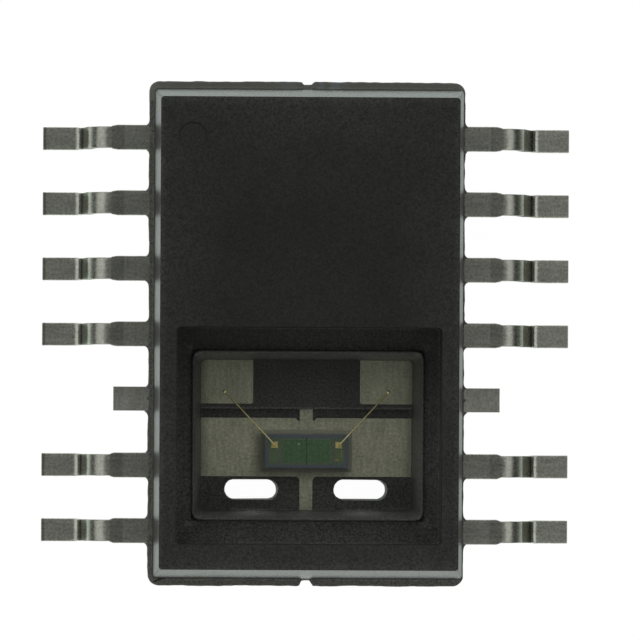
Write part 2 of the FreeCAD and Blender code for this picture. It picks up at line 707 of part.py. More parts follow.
def moulding():
    """The package as moulded, before the room for what it holds is taken out of it."""
    body = new_body("moulding")
    clip = "flange_corner"
    half_width = FLANGE_HALF_WIDTH
    half_length = FLANGE_HALF_LENGTH
    flange = []
    for across, along in ((1, -1), (1, 1), (-1, 1), (-1, -1)):
        side_point = (on_side(across, half_width), on_side(along, f"({half_length} - {clip})"))
        end_point = (on_side(across, f"({half_width} - {clip})"), on_side(along, half_length))
        order = (end_point, side_point) if across * along < 0 else (side_point, end_point)
        flange.extend(order)
    pad(body, "flange", flange, FRAME_UNDER, "frame_thickness")

    girth = rectangle("body_width", BODY_LENGTH, "0", "body_corner")
    crown = rectangle(TOP_WIDTH, TOP_LENGTH, "0", "body_corner")
    loft(body, "upper_half", "PartDesign::AdditiveLoft", [(FRAME_TOP, girth), (BODY_TOP, crown)])
    base = rectangle(
        "(body_width - 2 * lower_draft)", f"({BODY_LENGTH} - 2 * lower_draft)", "0", "body_corner"
    )
    loft(body, "lower_half", "PartDesign::AdditiveLoft", [(FRAME_UNDER, girth), (BODY_UNDER, base)])

    def notches(sketch):
        inner = "tie_end_width / 2"
        ends = [
            (half_length, TIE_UPPER_END, "index_notch_flare"),
            (f"-{half_length}", TIE_LOWER_END, "cavity_notch_flare"),
        ]
        for edge, floor, flare in ends:
            outer = f"{inner} + {flare}"
            draw(sketch, [(f"-({outer})", edge), (outer, edge), (inner, floor), (f"-({inner})", floor)])

    pocket(body, "tie_notches", FRAME_TOP, "frame_thickness", notches)

    recess = rectangle(RECESS_WIDTH, RECESS_LENGTH, FLOOR_MIDDLE, "recess_corner")
    pocket(body, "recess", BODY_TOP, "recess_depth", lambda sketch: draw(sketch, recess))
    lip = rectangle(LIP_WIDTH, LIP_LENGTH, FLOOR_MIDDLE, "lip_corner")
    pad(body, "lip", lip, LEDGE, "lip_height")
    mouth = rectangle(MOUTH_WIDTH, MOUTH_LENGTH, FLOOR_MIDDLE, "(lip_corner - lip_land)")
    floor = rectangle(FLOOR_WIDTH, FLOOR_LENGTH, FLOOR_MIDDLE, "floor_corner")
    loft(body, "pit", "PartDesign::SubtractiveLoft", [(LIP_TOP, mouth), (FRAME_TOP, floor)])

    half = f"{FLOOR_WIDTH} / 2"
    lower_floor = [
        (f"-({half})", FLOOR_LOWER, "floor_corner"),
        (half, FLOOR_LOWER, "floor_corner"),
        (half, STEP),
        (f"-({half})", STEP),
    ]
    pocket(body, "lower_floor", FRAME_TOP, "downset", lambda sketch: draw(sketch, lower_floor))

    def slots(sketch):
        for side in (1, -1):
            draw_slot(sketch, on_side(side, "slot_spacing / 2"), SLOT_ROW, "slot_length", "slot_width")

    through = pocket(body, "floor_slots", PADDLE_TOP, f"{PADDLE_TOP} - {BODY_UNDER} + slot_gap", slots)
    bind(through, "TaperAngle", "-slot_draft")

    index_x = f"(index_from_side - {TOP_WIDTH} / 2)"
    index_y = f"({TOP_LENGTH} / 2 - index_from_end)"
    pocket(
        body,
        "index_dimple",
        BODY_TOP,
        "index_depth",
        lambda sketch: draw_circle(sketch, index_x, index_y, "index_diameter"),
    )

    def ejector_marks(sketch):
        for end in (1, -1):
            place = on_side(end, f"({BODY_LENGTH} / 2 - lower_draft - ejector_from_end)")
            draw_circle(sketch, "0", place, "ejector_diameter")

    marks = pocket(body, "ejector_marks", BODY_UNDER, "ejector_depth", ejector_marks)
    marks.Reversed = True
    doc.recompute()

    level = number(LIP_TOP)
    edges = [
        f"Edge{i + 1}"
        for i, edge in enumerate(marks.Shape.Edges)
        if abs(edge.BoundBox.ZMin - level) < 1e-6 and abs(edge.BoundBox.ZMax - level) < 1e-6
    ]
    rounding = body.newObject("PartDesign::Fillet", "lip_rounding")
    rounding.Base = (marks, edges)
    bind(rounding, "Radius", "min(lip_round; 0.45 * lip_land)")
    return body


def position_of(side, row):
    """The lead's number: down the left side from the index mark, then up the right side."""
    return row + 1 if side < 0 else 2 * ROWS - row


leads = []
for side in (-1, 1):
    for row in range(ROWS):
        position = position_of(side, row)
        if row == CUT:
            leads.append(cut_lead(f"lead_{position:02d}_cut", side))
        elif row < BONDED_ROWS:
            leads.append(bonded_lead(f"lead_{position:02d}", side, row))
        else:
            leads.append(anchored_lead(f"lead_{position:02d}", side, row))

held = leads + [die_paddle()]

sensor_under = f"({PADDLE_TOP} + glue_film)"
sensor = slab("sensor_die", "sensor_width", "sensor_length", SENSOR_MIDDLE, sensor_under, "sensor_thickness")
sensor_glue = glue("sensor_die_attach", "sensor_width", "sensor_length", SENSOR_MIDDLE)
chip = slab("signal_chip", "chip_width", "chip_length", CHIP_MIDDLE, sensor_under, "chip_thickness")
chip_glue = glue("signal_chip_attach", "chip_width", "chip_length", CHIP_MIDDLE)
held.extend([chip, chip_glue])

sensor_wires = [sensor_wire("sensor_wire_left", -1), sensor_wire("sensor_wire_right", 1)]
for side in (-1, 1):
    for row in range(BONDED_ROWS):
        held.append(signal_wire(f"bond_wire_{position_of(side, row):02d}", side, row))
    held.append(tongue_wire(f"bond_wire_{position_of(side, CUT):02d}", side))

filled = moulding()
room = doc.addObject("Part::MultiFuse", "room_for_held_pieces")
room.Shapes = held
package = doc.addObject("Part::Cut", "package_piece")
package.Base = filled
package.Tool = room
package.Label = "package_body"

pieces = [package, sensor, sensor_glue] + sensor_wires + held
doc.recompute()

for thing in doc.Objects:
    if "Invalid" in thing.State or "Error" in thing.State:
        raise RuntimeError(f"{thing.Label} did not compute: {thing.State}")
for piece in pieces:
    shape = piece.Shape
    if shape.isNull() or not shape.isValid() or not shape.Solids:
        raise RuntimeError(f"{piece.Label} has no valid solid")

os.makedirs("parts", exist_ok=True)
for piece in pieces:
    piece.Shape.exportStep(f"parts/{piece.Label}.step")
    print(piece.Label, len(piece.Shape.Solids), round(piece.Shape.Volume, 5))
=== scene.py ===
"""Looks of the open-cavity sensor package: moulding, formed leads, cavity, sensor die and gold wires."""

import math

import bmesh
import bpy
from mathutils import Matrix, Vector, noise


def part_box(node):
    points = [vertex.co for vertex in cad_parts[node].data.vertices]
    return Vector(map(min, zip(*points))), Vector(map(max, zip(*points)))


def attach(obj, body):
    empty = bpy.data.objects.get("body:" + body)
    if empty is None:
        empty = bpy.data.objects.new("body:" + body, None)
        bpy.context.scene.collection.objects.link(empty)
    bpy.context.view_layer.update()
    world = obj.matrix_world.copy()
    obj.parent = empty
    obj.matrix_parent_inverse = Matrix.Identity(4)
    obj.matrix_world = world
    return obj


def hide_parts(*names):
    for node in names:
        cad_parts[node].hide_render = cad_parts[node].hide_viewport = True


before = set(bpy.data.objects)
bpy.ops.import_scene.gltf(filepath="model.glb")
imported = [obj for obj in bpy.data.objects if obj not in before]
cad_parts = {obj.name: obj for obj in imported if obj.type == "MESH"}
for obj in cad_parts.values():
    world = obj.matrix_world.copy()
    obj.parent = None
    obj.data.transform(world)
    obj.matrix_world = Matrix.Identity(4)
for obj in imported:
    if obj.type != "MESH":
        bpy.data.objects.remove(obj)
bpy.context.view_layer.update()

MM = 0.001
SIDES = {-1: "left", 1: "right"}
scene = bpy.context.scene

# Places and sizes read from the frame, in millimetres


def corners_of(node):
    low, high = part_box(node)
    return low / MM, high / MM


BODY_LOW, BODY_HIGH = corners_of("package_body")
PAD_LOW, PAD_HIGH = corners_of("lead_10_cut")
DIE_LOW, DIE_HIGH = corners_of("sensor_die")
LEAD_TIP = corners_of("lead_09")[1].x
PADDLE_TOP = corners_of("sensor_die_attach")[0].z
UNDERSIDE = BODY_LOW.z
TOP = BODY_HIGH.z
FLANGE_X = BODY_HIGH.x
FLANGE_Y = BODY_HIGH.y
FRAME_UNDER = PAD_LOW.z
FRAME_TOP = PAD_HIGH.z
THICKNESS = FRAME_TOP - FRAME_UNDER
DIE_MIDDLE = (DIE_LOW + DIE_HIGH) / 2
DIE_HALF = (DIE_HIGH - DIE_LOW) / 2

# Sizes of the moulding, in millimetres. The shifts are those of its two halves and its flange in the photo
ROWS = 7
CUT = 4
PITCH = 1.27
FLANGE_SIDE = 0.05
FLANGE_END = 0.136
FLANGE_SHIFT = -0.01
FLANGE_SPREAD = 0.014
FLANGE_CORNER = 0.21
GIRTH_SHIFT = 0.028
SIDE_DRAFT = 0.125
END_DRAFT = 0.21
LOWER_DRAFT = 0.11
BODY_CORNER = 0.07
SIDE_WALL = 0.33
RECESS_DEPTH = 0.97
RECESS_CORNER = 0.08
LEDGE_SIDE = 0.30
LEDGE_END = 0.435
LIP_HEIGHT = 0.15
LIP_LAND = 0.06
LIP_CORNER = 0.20
WALL_RUN = 0.135
FLOOR_CORNER = 0.10
FLOOR_LENGTH = 2.91
FLOOR_MIDDLE = -1.965
STEP = -1.46
STEP_ROUNDING = 0.03

# How far the raised floor runs into the moulding: behind it, below it and at both ends
FLOOR_BEHIND = 0.05
FLOOR_BELOW = 0.1
FLOOR_BESIDE = 0.02

# How far the metal stands proud of the resin
PROUD = 0.008

# Half sizes of the moulding's outlines, from the flange inwards
GIRTH_X = FLANGE_X - FLANGE_SIDE
GIRTH_Y = FLANGE_Y - FLANGE_END
LOW_X = GIRTH_X - LOWER_DRAFT
LOW_Y = GIRTH_Y - LOWER_DRAFT
TOP_X = GIRTH_X - SIDE_DRAFT
TOP_Y = GIRTH_Y - END_DRAFT
RECESS_X = TOP_X - SIDE_WALL
LIP_X = RECESS_X - LEDGE_SIDE
MOUTH_X = LIP_X - LIP_LAND
FLOOR_X = MOUTH_X - WALL_RUN
FLOOR_Y = FLOOR_LENGTH / 2
MOUTH_Y = FLOOR_Y + WALL_RUN
LIP_Y = MOUTH_Y + LIP_LAND
RECESS_Y = LIP_Y + LEDGE_END

# Slots through the floor, whose cutters run past it with a flare, and marks: the index mark is
# (x, y, radius), the ejector marks are underneath
SLOT_LENGTH = 1.05
SLOT_WIDTH = 0.41
SLOT_DRAFT = 1.3
SLOT_X = 1.06
SLOT_Y = -3.02
SLOT_EASE = 0.012
SLOT_RIM = 0.016
SLOT_PAST = 0.1
SLOT_MOUTH = 0.03
SLOT_FLARE = 0.05
INDEX = (-2.26, 3.77, 0.275)
EJECTOR_Y = 3.915
EJECTOR_RADIUS = 0.35
MARK_DEPTH = 0.02

# Tie-bar notches at the flange's upper and lower end: (depth, half width, flare)
NOTCHES = {1: (0.055, 0.08, 0.035), -1: (0.11, 0.08, 0.05)}

# Resin that crept beside the leads and over the strip's roots and upper tie
RESIN_FILLET = 0.105
RESIN_REACH = 0.072
RESIN_OVERLAP = 0.02
FLASH_HEIGHT = 2.2 * PROUD
FLASH_SOFT = 0.05
TIE_HALF = 0.30
TIE_SOFT = 0.10

# How squarely an outward direction has to face a side to count as that side's, and the most of a
# neighbouring stretch that a rounding takes
FACING = 0.9
ROUNDING_SHARE = 0.48

# Ragged outlines. The flange's waves are (waves per millimetre, seed, reach), the slots' have no seed
FLANGE_WAVES = ((1.4, 3.1, 0.014), (7.0, 8.4, 0.010))
SLOT_WAVES = ((6.0, 0.012), (17.0, 0.006))

# Sizes of the formed leads, in millimetres and degrees
SHOULDER_WIDTH = 0.480
LEG_WIDTH = 0.415
FOOT_WIDTH = 0.443
BEND_START = 3.78
SHOULDER_BEND = 0.30
FOOT_BEND = 0.17
LEG_LEAN = 8.0
NARROWING = 0.07
WIDENING = 0.10
LEAD_EDGE = 0.014
END_EASE = 0.012
LEAD_RIPPLE = 0.004
RIPPLES_PER_MM = 5
ROW_SEED = 3.7
SIDE_SEED = 11.0
TURN = 90 - LEG_LEAN
TANGENT = math.tan(math.radians(TURN / 2))
HEEL = (BEND_START + (SHOULDER_BEND + THICKNESS + FOOT_BEND) * TANGENT
        + (FRAME_TOP - THICKNESS) * math.tan(math.radians(LEG_LEAN)))

# How far forming left the leads out of line: aside, spread at the legs, and drawn in at the bends.
# A lead's drop goes from 0 to 1 over DROP_RUN below DROP_START
LEAD_ASIDE = 0.016
FOOT_ASIDE = 0.008
ASIDE_RUN = 0.3
BEND_SHIFT = {-1: 0.0, 1: 0.035}
LEG_SPREAD = {-1: 0.02, 1: 0.05}
DROP_START = 0.85
DROP_RUN = 0.45

# The leads' ends inside the moulding: anchors, or fingers whose tips stand closer together than the leads
FINGER_ROOT = 2.65
FINGER_WIDTH = 0.30
FINGER_MIDDLE = 1.905
FINGER_PITCH = 0.70
FINGER_ROW = 1.5
ANCHOR_NECK = 2.70
ANCHOR_WIDTH = 0.70

# Gold wires, from the die's bond pads to the frame's. The ball's profile is (share of its radius, height),
# the stitch's is (radius, height)
WIRE = 0.03
BALL = 0.12
LOOP_START = 0.03
LOOP_HEIGHT = 0.20
LOOP_LEAN = 0.01
LOOP_DIP = 0.02
DIE_BOND = Vector((0.62, -2.15))
PAD_BOND = Vector((1.587, -1.122))
BALL_PROFILE = ((0.90, 0), (1.0, 0.008), (0.98, 0.016), (0.64, 0.025), (0.31, 0.034), (0.27, 0.07))
STITCH_PROFILE = ((0.034, 0), (0.036, 0.006), (0.028, 0.020), (0.014, 0.028))

# Sensor die: the block's eased edge, and films on its face, each trim mark as (low corner, high corner)
DIE_EDGE = 0.008
FILM = 0.002
FILM_EDGE = 0.001
ARRAY_GAP = 0.008
ARRAY_REACH = 0.45
ARRAY_HALF = 0.215
BOND_PAD_HALF = 0.062
TRIM_MARKS = (((0.662, -2.385), (0.684, -2.245)), ((0.555, -2.455), (0.625, -2.425)))

# How finely the meshes are divided
ALONG_X = 150
ALONG_Y = 340
CORNER_STEPS = 8
EDGE_STEPS = 4
FLOOR_EDGE_STEPS = 6
SLOT_STEPS = 40
MARK_STEPS = 64
SHOULDER_STEPS = 25
BEND_STEPS = 28
FOOT_STEPS = 8
LEAD_EDGE_STEPS = 3
BALL_STEPS = 24
WIRE_STEPS = 12
LOOP_STEPS = 8

# Corners of a rounded rectangle, in order: (across, along, the angle where the corner's arc starts)
CORNERS = ((1, -1, -90), (1, 1, 0), (-1, 1, 90), (-1, -1, 180))


def clamp(value):
    return min(1, max(0, value))


def smooth_step(value, low, high):
    t = clamp((value - low) / (high - low))
    return t * t * (3 - 2 * t)


# Mesh helpers. Pieces are drawn in millimetres and scaled to metres once


def mesh_of(name, vertices, faces):
    mesh = bpy.data.meshes.new(name)
    mesh.from_pydata([Vector(v) * MM for v in vertices], [], faces)
    return mesh


def linked(name, data):
    thing = bpy.data.objects.new(name, data)
    scene.collection.objects.link(thing)
    return thing


def new_piece(name, vertices, faces, material, slot, smooth=True):
    mesh = mesh_of(name, vertices, faces)
    mesh.validate()
    mesh.polygons.foreach_set("use_smooth", [smooth] * len(mesh.polygons))
    mesh.materials.append(material)
    piece = linked(name, mesh)
    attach(piece, "root")
    return piece


def sharpen(piece, degrees):
    """Keeps edges above an angle sharp, and shades the rest smooth."""
    mesh = piece.data
    edit = bmesh.new()
    edit.from_mesh(mesh)
    limit = math.radians(degrees)
    for edge in edit.edges:
        edge.smooth = len(edge.link_faces) == 2 and edge.calc_face_angle(0) < limit
    edit.to_mesh(mesh)
    edit.free()


def stack(rings):
    """Vertices and faces of a closed skin over rings of equally many points."""
    count = len(rings[0])
    vertices = [point for ring in rings for point in ring]
    faces = []
    for level in range(len(rings) - 1):
        low = level * count
        high = low + count
        for i in range(count):
            j = (i + 1) % count
            faces.append((low + i, low + j, high + j, high + i))
    top = (len(rings) - 1) * count
    faces.append(tuple(reversed(range(count))))
    faces.append(tuple(range(top, top + count)))
    return vertices, faces


def join_parts(parts):
    """One list of vertices and one of faces from several."""
    vertices = []
    faces = []
    for more_vertices, more_faces in parts:
        start = len(vertices)
        vertices.extend(more_vertices)
        faces.extend(tuple(i + start for i in face) for face in more_faces)
    return vertices, faces


def turned_rings(x, y, profile, steps):
    """Rings about an upright axis through a point, for each (radius, level) of the profile."""
    angles = [math.tau * k / steps for k in range(steps)]
    return [
        [Vector((x + radius * math.cos(angle), y + radius * math.sin(angle), level)) for angle in angles]
        for radius, level in profile
    ]


def carve(piece, vertices, faces):
    """Takes the shape out of the piece."""
    cutter = linked("cutter", mesh_of("cutter", vertices, faces))
    modifier = piece.modifiers.new("carve", "BOOLEAN")
    modifier.operation = "DIFFERENCE"
    modifier.solver = "EXACT"
    modifier.object = cutter
    graph = bpy.context.evaluated_depsgraph_get()
    carved = bpy.data.meshes.new_from_object(piece.evaluated_get(graph))
    piece.modifiers.clear()
    piece.data = carved
    bpy.data.objects.remove(cutter)


# Outlines of the moulding: rounded rectangles, each (half x, half y, middle y, corner, level, middle x)

HALF_X, HALF_Y, LEVEL = 0, 1, 4


def outline(half_x, half_y, middle_y, corner, level, middle_x=0.0):
    return Vector((half_x, half_y, middle_y, corner, level, middle_x))


def ring_points(shape):
    """Points round the outline with the outward direction at each."""
    half_x, half_y, middle_y, corner, level, middle_x = shape
    arcs = []
    for across, along, first in CORNERS:
        centre = Vector((middle_x + across * (half_x - corner), middle_y + along * (half_y - corner)))
        arc = []
        for k in range(CORNER_STEPS + 1):
            angle = math.radians(first + 90 * k / CORNER_STEPS)
            out = Vector((math.cos(angle), math.sin(angle)))
            arc.append((centre + corner * out, out))
        arcs.append(arc)
    points = []
    for index, arc in enumerate(arcs):
        start, out = arc[-1]
        end = arcs[(index + 1) % len(arcs)][0][0]
        count = ALONG_X if index % 2 else ALONG_Y
        points.extend(arc)
        points.extend((start.lerp(end, k / count), out) for k in range(1, count))
    return [(Vector((*spot, level)), Vector((*direction, 0))) for spot, direction in points]


def rounded_profile(stations):
    """The stations' outlines in order; a station with a rounding becomes a curve past it."""
    shapes = []
    for index, (shape, rounding) in enumerate(stations):
        if not rounding:
            shapes.append(shape)
            continue
        ends = []
        for neighbour in (stations[index - 1][0], stations[index + 1][0]):
            step = neighbour - shape
            reach = max(abs(step[i]) for i in (HALF_X, HALF_Y, LEVEL))
            ends.append(shape + step * min(ROUNDING_SHARE, rounding / reach))
        for k in range(EDGE_STEPS + 1):
            t = k / EDGE_STEPS
            shapes.append(ends[0] * (1 - t) ** 2 + shape * 2 * t * (1 - t) + ends[1] * t ** 2)
    return shapes


def row_y(row):
    return ((ROWS - 1) / 2 - row) * PITCH


def flange_offset(point, out):
    """How far the flange's ragged rim stands out or in at a point, in millimetres."""
    offset = sum(
        reach * noise.noise(Vector((point.x * waves, point.y * waves, seed)))
        for waves, seed, reach in FLANGE_WAVES
    )
    if abs(out.x) > FACING:
        for row in range(ROWS):
            gap = abs(point.y - row_y(row) + LEAD_ASIDE) - SHOULDER_WIDTH / 2
            if -RESIN_OVERLAP < gap < RESIN_FILLET:
                share = 1 - max(gap, 0) / RESIN_FILLET
                offset += RESIN_REACH * (1 - math.sqrt(1 - share * share))
    if abs(out.y) > FACING:
        depth, half, flare = NOTCHES[1 if out.y > 0 else -1]
        offset -= depth * clamp((half + flare - abs(point.x)) / flare)
    return offset


def flash_rise(point, out):
    """How far the flange's upper face rises over the strip: past a lead's root and over the upper tie."""
    rise = 0.0
    if abs(out.x) > FACING:
        row = round((ROWS - 1) / 2 - point.y / PITCH)
        near = SHOULDER_WIDTH / 2 + FLASH_SOFT - abs(point.y - row_y(row))
        rise = clamp(near / FLASH_SOFT)
    if out.y > FACING:
        rise = clamp((TIE_HALF - abs(point.x)) / TIE_SOFT)
    return FLASH_HEIGHT * rise


def moulding_stations():
    """Outlines from the underside over the flange and the upper face to the floor, with their roundings."""
    ledge = TOP - RECESS_DEPTH
    lip = ledge + LIP_HEIGHT
    floor = PADDLE_TOP - PROUD
    under = FRAME_UNDER + PROUD
    over = FRAME_TOP - PROUD
    rim_x = FLANGE_X + FLANGE_SPREAD
    margin = 0.12
    inset = 0.06
    middle = FLOOR_MIDDLE
    return [
        (outline(LOW_X - margin, LOW_Y - margin, 0, BODY_CORNER / 2, UNDERSIDE), 0),
        (outline(LOW_X, LOW_Y, 0, BODY_CORNER, UNDERSIDE), 0.04),
        (outline(GIRTH_X, GIRTH_Y, 0, BODY_CORNER, under), 0.02),
        (outline(rim_x, FLANGE_Y, 0, FLANGE_CORNER, under, FLANGE_SHIFT), 0.02),
        (outline(rim_x, FLANGE_Y, 0, FLANGE_CORNER, over, FLANGE_SHIFT), 0.04),
        (outline(GIRTH_X, GIRTH_Y, 0, BODY_CORNER, over, GIRTH_SHIFT), 0.045),
        (outline(TOP_X, TOP_Y, 0, BODY_CORNER, TOP), 0.040),
        (outline(TOP_X - margin, TOP_Y - margin, 0, BODY_CORNER / 2, TOP), 0),
        (outline(RECESS_X + margin, RECESS_Y + margin, middle, RECESS_CORNER + margin, TOP), 0),
        (outline(RECESS_X, RECESS_Y, middle, RECESS_CORNER, TOP), 0.02),
        (outline(RECESS_X, RECESS_Y, middle, RECESS_CORNER, ledge), 0.03),
        (outline(RECESS_X - inset, RECESS_Y - inset, middle, RECESS_CORNER - inset, ledge), 0),
        (outline(LIP_X + inset, LIP_Y + inset, middle, LIP_CORNER + inset, ledge), 0),
        (outline(LIP_X, LIP_Y, middle, LIP_CORNER, ledge), 0.02),
        (outline(LIP_X, LIP_Y, middle, LIP_CORNER, lip), 0.025),
        (outline(MOUTH_X, MOUTH_Y, middle, LIP_CORNER - LIP_LAND, lip), 0.025),
        (outline(FLOOR_X, FLOOR_Y, middle, FLOOR_CORNER, FRAME_TOP), 0.02),
        (outline(FLOOR_X, FLOOR_Y, middle, FLOOR_CORNER, floor), 0.03),
        (outline(FLOOR_X - margin, FLOOR_Y - margin, middle, FLOOR_CORNER / 2, floor), 0),
    ]


def moulding_rings():
    """Rings of points over the moulding, with the flange's ragged rim and its rises over the strip."""
    rings = []
    for shape in rounded_profile(moulding_stations()):
        level = shape[LEVEL]
        share = clamp((shape[HALF_Y] - GIRTH_Y) / FLANGE_END) if level < FRAME_TOP else 0
        above = level > FRAME_UNDER + THICKNESS / 2
        up = Vector((0, 0, clamp(1 - (level - FRAME_TOP + PROUD) / FLASH_SOFT) if above else 0))
        rings.append([
            point + out * share * flange_offset(point, out) + up * flash_rise(point, out)
            for point, out in ring_points(shape)
        ])
    return rings


def upper_floor():
    """The raised part of the cavity floor, level with the bond pads, with a rounded lower edge."""
    back = FLOOR_MIDDLE + FLOOR_Y + FLOOR_BEHIND
    under = PADDLE_TOP - FLOOR_BELOW
    half = FLOOR_X + FLOOR_BESIDE
    level = FRAME_TOP - PROUD
    profile = [(back, under), (back, level)]
    for k in range(FLOOR_EDGE_STEPS + 1):
        angle = math.radians(90 * k / FLOOR_EDGE_STEPS)
        y = STEP + STEP_ROUNDING * (1 - math.sin(angle))
        profile.append((y, level - STEP_ROUNDING * (1 - math.cos(angle))))
    profile.append((STEP, under))
    return stack([[Vector((x, y, z)) for y, z in profile] for x in (-half, half)])


def slot_cutter(side):
    """A round-ended slot with a slightly ragged outline and eased rims."""
    floor = PADDLE_TOP - PROUD
    draft = (PADDLE_TOP - UNDERSIDE) * math.tan(math.radians(SLOT_DRAFT))
    flares = [
        (UNDERSIDE - SLOT_PAST, SLOT_MOUTH - draft),
        (UNDERSIDE, SLOT_EASE - draft),
        (UNDERSIDE + SLOT_EASE, -draft),
        (floor - SLOT_RIM, 0),
        (floor, SLOT_EASE),
        (floor + SLOT_PAST, SLOT_FLARE),
    ]
    radius = SLOT_WIDTH / 2
    reach = SLOT_LENGTH / 2 - radius
    rings = []
    for level, flare in flares:
        ring = []
        for end in (1, -1):
            for k in range(SLOT_STEPS + 1):
                angle = math.radians(-90 + 180 * k / SLOT_STEPS)
                out = Vector((end * math.cos(angle), end * math.sin(angle), 0))
                spot = Vector((side * SLOT_X + end * reach, SLOT_Y, level)) + radius * out
                rough = sum(size * noise.noise(spot * waves) for waves, size in SLOT_WAVES)
                ring.append(spot + out * (flare + rough))
        rings.append(ring)
    return stack(rings)


def disc_cutter(x, y, radius, low, high):
    return stack(turned_rings(x, y, ((radius, low), (radius, high)), MARK_STEPS))


def moulding(material):
    """The moulding with its slots and marks, joined with its upper floor."""
    piece = new_piece("moulding", *stack(moulding_rings()), material, "moulding")
    cutters = [slot_cutter(side) for side in SIDES]
    cutters.append(disc_cutter(*INDEX, TOP - MARK_DEPTH, TOP + 1))
    for y in (EJECTOR_Y, -EJECTOR_Y):
        cutters.append(disc_cutter(0, y, EJECTOR_RADIUS, UNDERSIDE - 1, UNDERSIDE + MARK_DEPTH))
    carve(piece, *join_parts(cutters))
    floor = new_piece("moulding_floor", *upper_floor(), material, "moulding")
    for part in (piece, floor):
        sharpen(part, degrees=35)
    with bpy.context.temp_override(active_object=piece, selected_editable_objects=[piece, floor]):
        bpy.ops.object.join()
    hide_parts("package_body")


# Formed leads: a strip's section swept along its side view


def side_view(inner):
    """The lead's middle line from its inner end to its tip: (distance out, height, angle of the slope)."""
    middle = FRAME_TOP - THICKNESS / 2
    upper = SHOULDER_BEND + THICKNESS / 2
    lower = FOOT_BEND + THICKNESS / 2
    centre = THICKNESS / 2 + lower
    path = []
    for k in range(SHOULDER_STEPS):
        path.append((inner + (BEND_START - inner) * k / SHOULDER_STEPS, middle, 0))
    for k in range(BEND_STEPS + 1):
        angle = math.radians(TURN * k / BEND_STEPS)
        out = BEND_START + upper * math.sin(angle)
        path.append((out, middle - upper * (1 - math.cos(angle)), angle))
    for k in range(BEND_STEPS + 1):
        angle = math.radians(TURN * (1 - k / BEND_STEPS))
        path.append((HEEL - lower * math.sin(angle), centre - lower * math.cos(angle), angle))
    for k in range(1, FOOT_STEPS + 1):
        path.append((HEEL + (LEAD_TIP - HEEL) * k / FOOT_STEPS, THICKNESS / 2, 0))
    return path


def section(half_width, half_height, edge):
    """A strip's section with rounded edges, as (across, up) pairs."""
    points = []
    for across, up, first in CORNERS:
        for k in range(LEAD_EDGE_STEPS + 1):
            angle = math.radians(first + 90 * k / LEAD_EDGE_STEPS)
            points.append((across * (half_width - edge) + edge * math.cos(angle),
                           up * (half_height - edge) + edge * math.sin(angle)))
    return points


def lead_width(out):
    """Full width of the part of a lead that shows."""
    start = BEND_START - NARROWING / 2
    foot = HEEL - FOOT_BEND
    width = SHOULDER_WIDTH + (LEG_WIDTH - SHOULDER_WIDTH) * smooth_step(out, start, start + NARROWING)
    return width + (FOOT_WIDTH - LEG_WIDTH) * smooth_step(out, foot, foot + WIDENING)


def lead_stations(inner, side, row):
    """Where the lead's section goes: (distance out, height, angle of the slope, middle, width)."""
    anchored = row > CUT
    tip_y = FINGER_MIDDLE + (FINGER_ROW - row) * FINGER_PITCH
    stations = []
    for out, height, angle in side_view(inner):
        width = lead_width(out)
        middle = row_y(row)
        if anchored and out < ANCHOR_NECK:
            width = ANCHOR_WIDTH
        elif not anchored and out < FINGER_ROOT:
            share = (FINGER_ROOT - out) / (FINGER_ROOT - inner)
            width = SHOULDER_WIDTH + (FINGER_WIDTH - SHOULDER_WIDTH) * share
            middle += (tip_y - middle) * share
        drop = clamp((DROP_START - height) / DROP_RUN)
        room = clamp((LEAD_TIP - out) / (LEAD_TIP - HEEL))
        reach = clamp((out - FLANGE_X) / (BEND_START - FLANGE_X))
        middle -= (LEAD_ASIDE + FOOT_ASIDE * drop) * smooth_step(out, FLANGE_X - ASIDE_RUN, FLANGE_X)
        out += LEG_SPREAD[side] * drop * room - BEND_SHIFT[side] * reach * (1 - drop)
        stations.append((out, height, angle, middle, width))
    end, *rest = stations[-1]
    stations.insert(-1, (end - END_EASE, *rest))
    return stations


def lead_ring(station, shrink, side, seed):
    """The lead's section at a station, rippled along its cut edges where it shows."""
    out, height, angle, middle, width = station
    ring = []
    for across, up in section(width / 2 - shrink, THICKNESS / 2 - shrink, LEAD_EDGE):
        if out > FLANGE_X:
            ripple = noise.noise(Vector((out * RIPPLES_PER_MM, seed, math.copysign(1, across))))
            across += math.copysign(LEAD_RIPPLE * ripple, across)
        x = side * (out + up * math.sin(angle))
        ring.append(Vector((x, middle + across, height + up * math.cos(angle))))
    return ring


def formed_lead(node, side, row, material):
    """The whole lead, with its finger or its anchor inside the moulding."""
    low, high = corners_of(node)
    inner = -high.x if side < 0 else low.x
    seed = row * ROW_SEED + side * SIDE_SEED
    stations = lead_stations(inner, side, row)
    rings = [lead_ring(station, 0, side, seed) for station in stations]
    for end in (0, -1):
        rings[end] = lead_ring(stations[end], END_EASE, side, seed)
    vertices, faces = stack(rings)
    if side < 0:
        faces = [tuple(reversed(face)) for face in faces]
    piece = new_piece(f"formed_{node}", vertices, faces, material, "lead_plating")
    sharpen(piece, degrees=40)
    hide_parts(node)


# Gold wires from the sensor die to the bond pads


def smooth_line(corners):
    """Points along a smooth curve through the corners, which are points in a plane."""
    padded = [corners[0], *corners, corners[-1]]
    points = []
    for i in range(1, len(padded) - 2):
        p0, p1, p2, p3 = (Vector(p) for p in padded[i - 1:i + 3])
        for k in range(LOOP_STEPS):
            t = k / LOOP_STEPS
            points.append(0.5 * (2 * p1 + (p2 - p0) * t + (2 * p0 - 5 * p1 + 4 * p2 - p3) * t * t
                                 + (3 * p1 - p0 - 3 * p2 + p3) * t ** 3))
    points.append(Vector(corners[-1]))
    return points


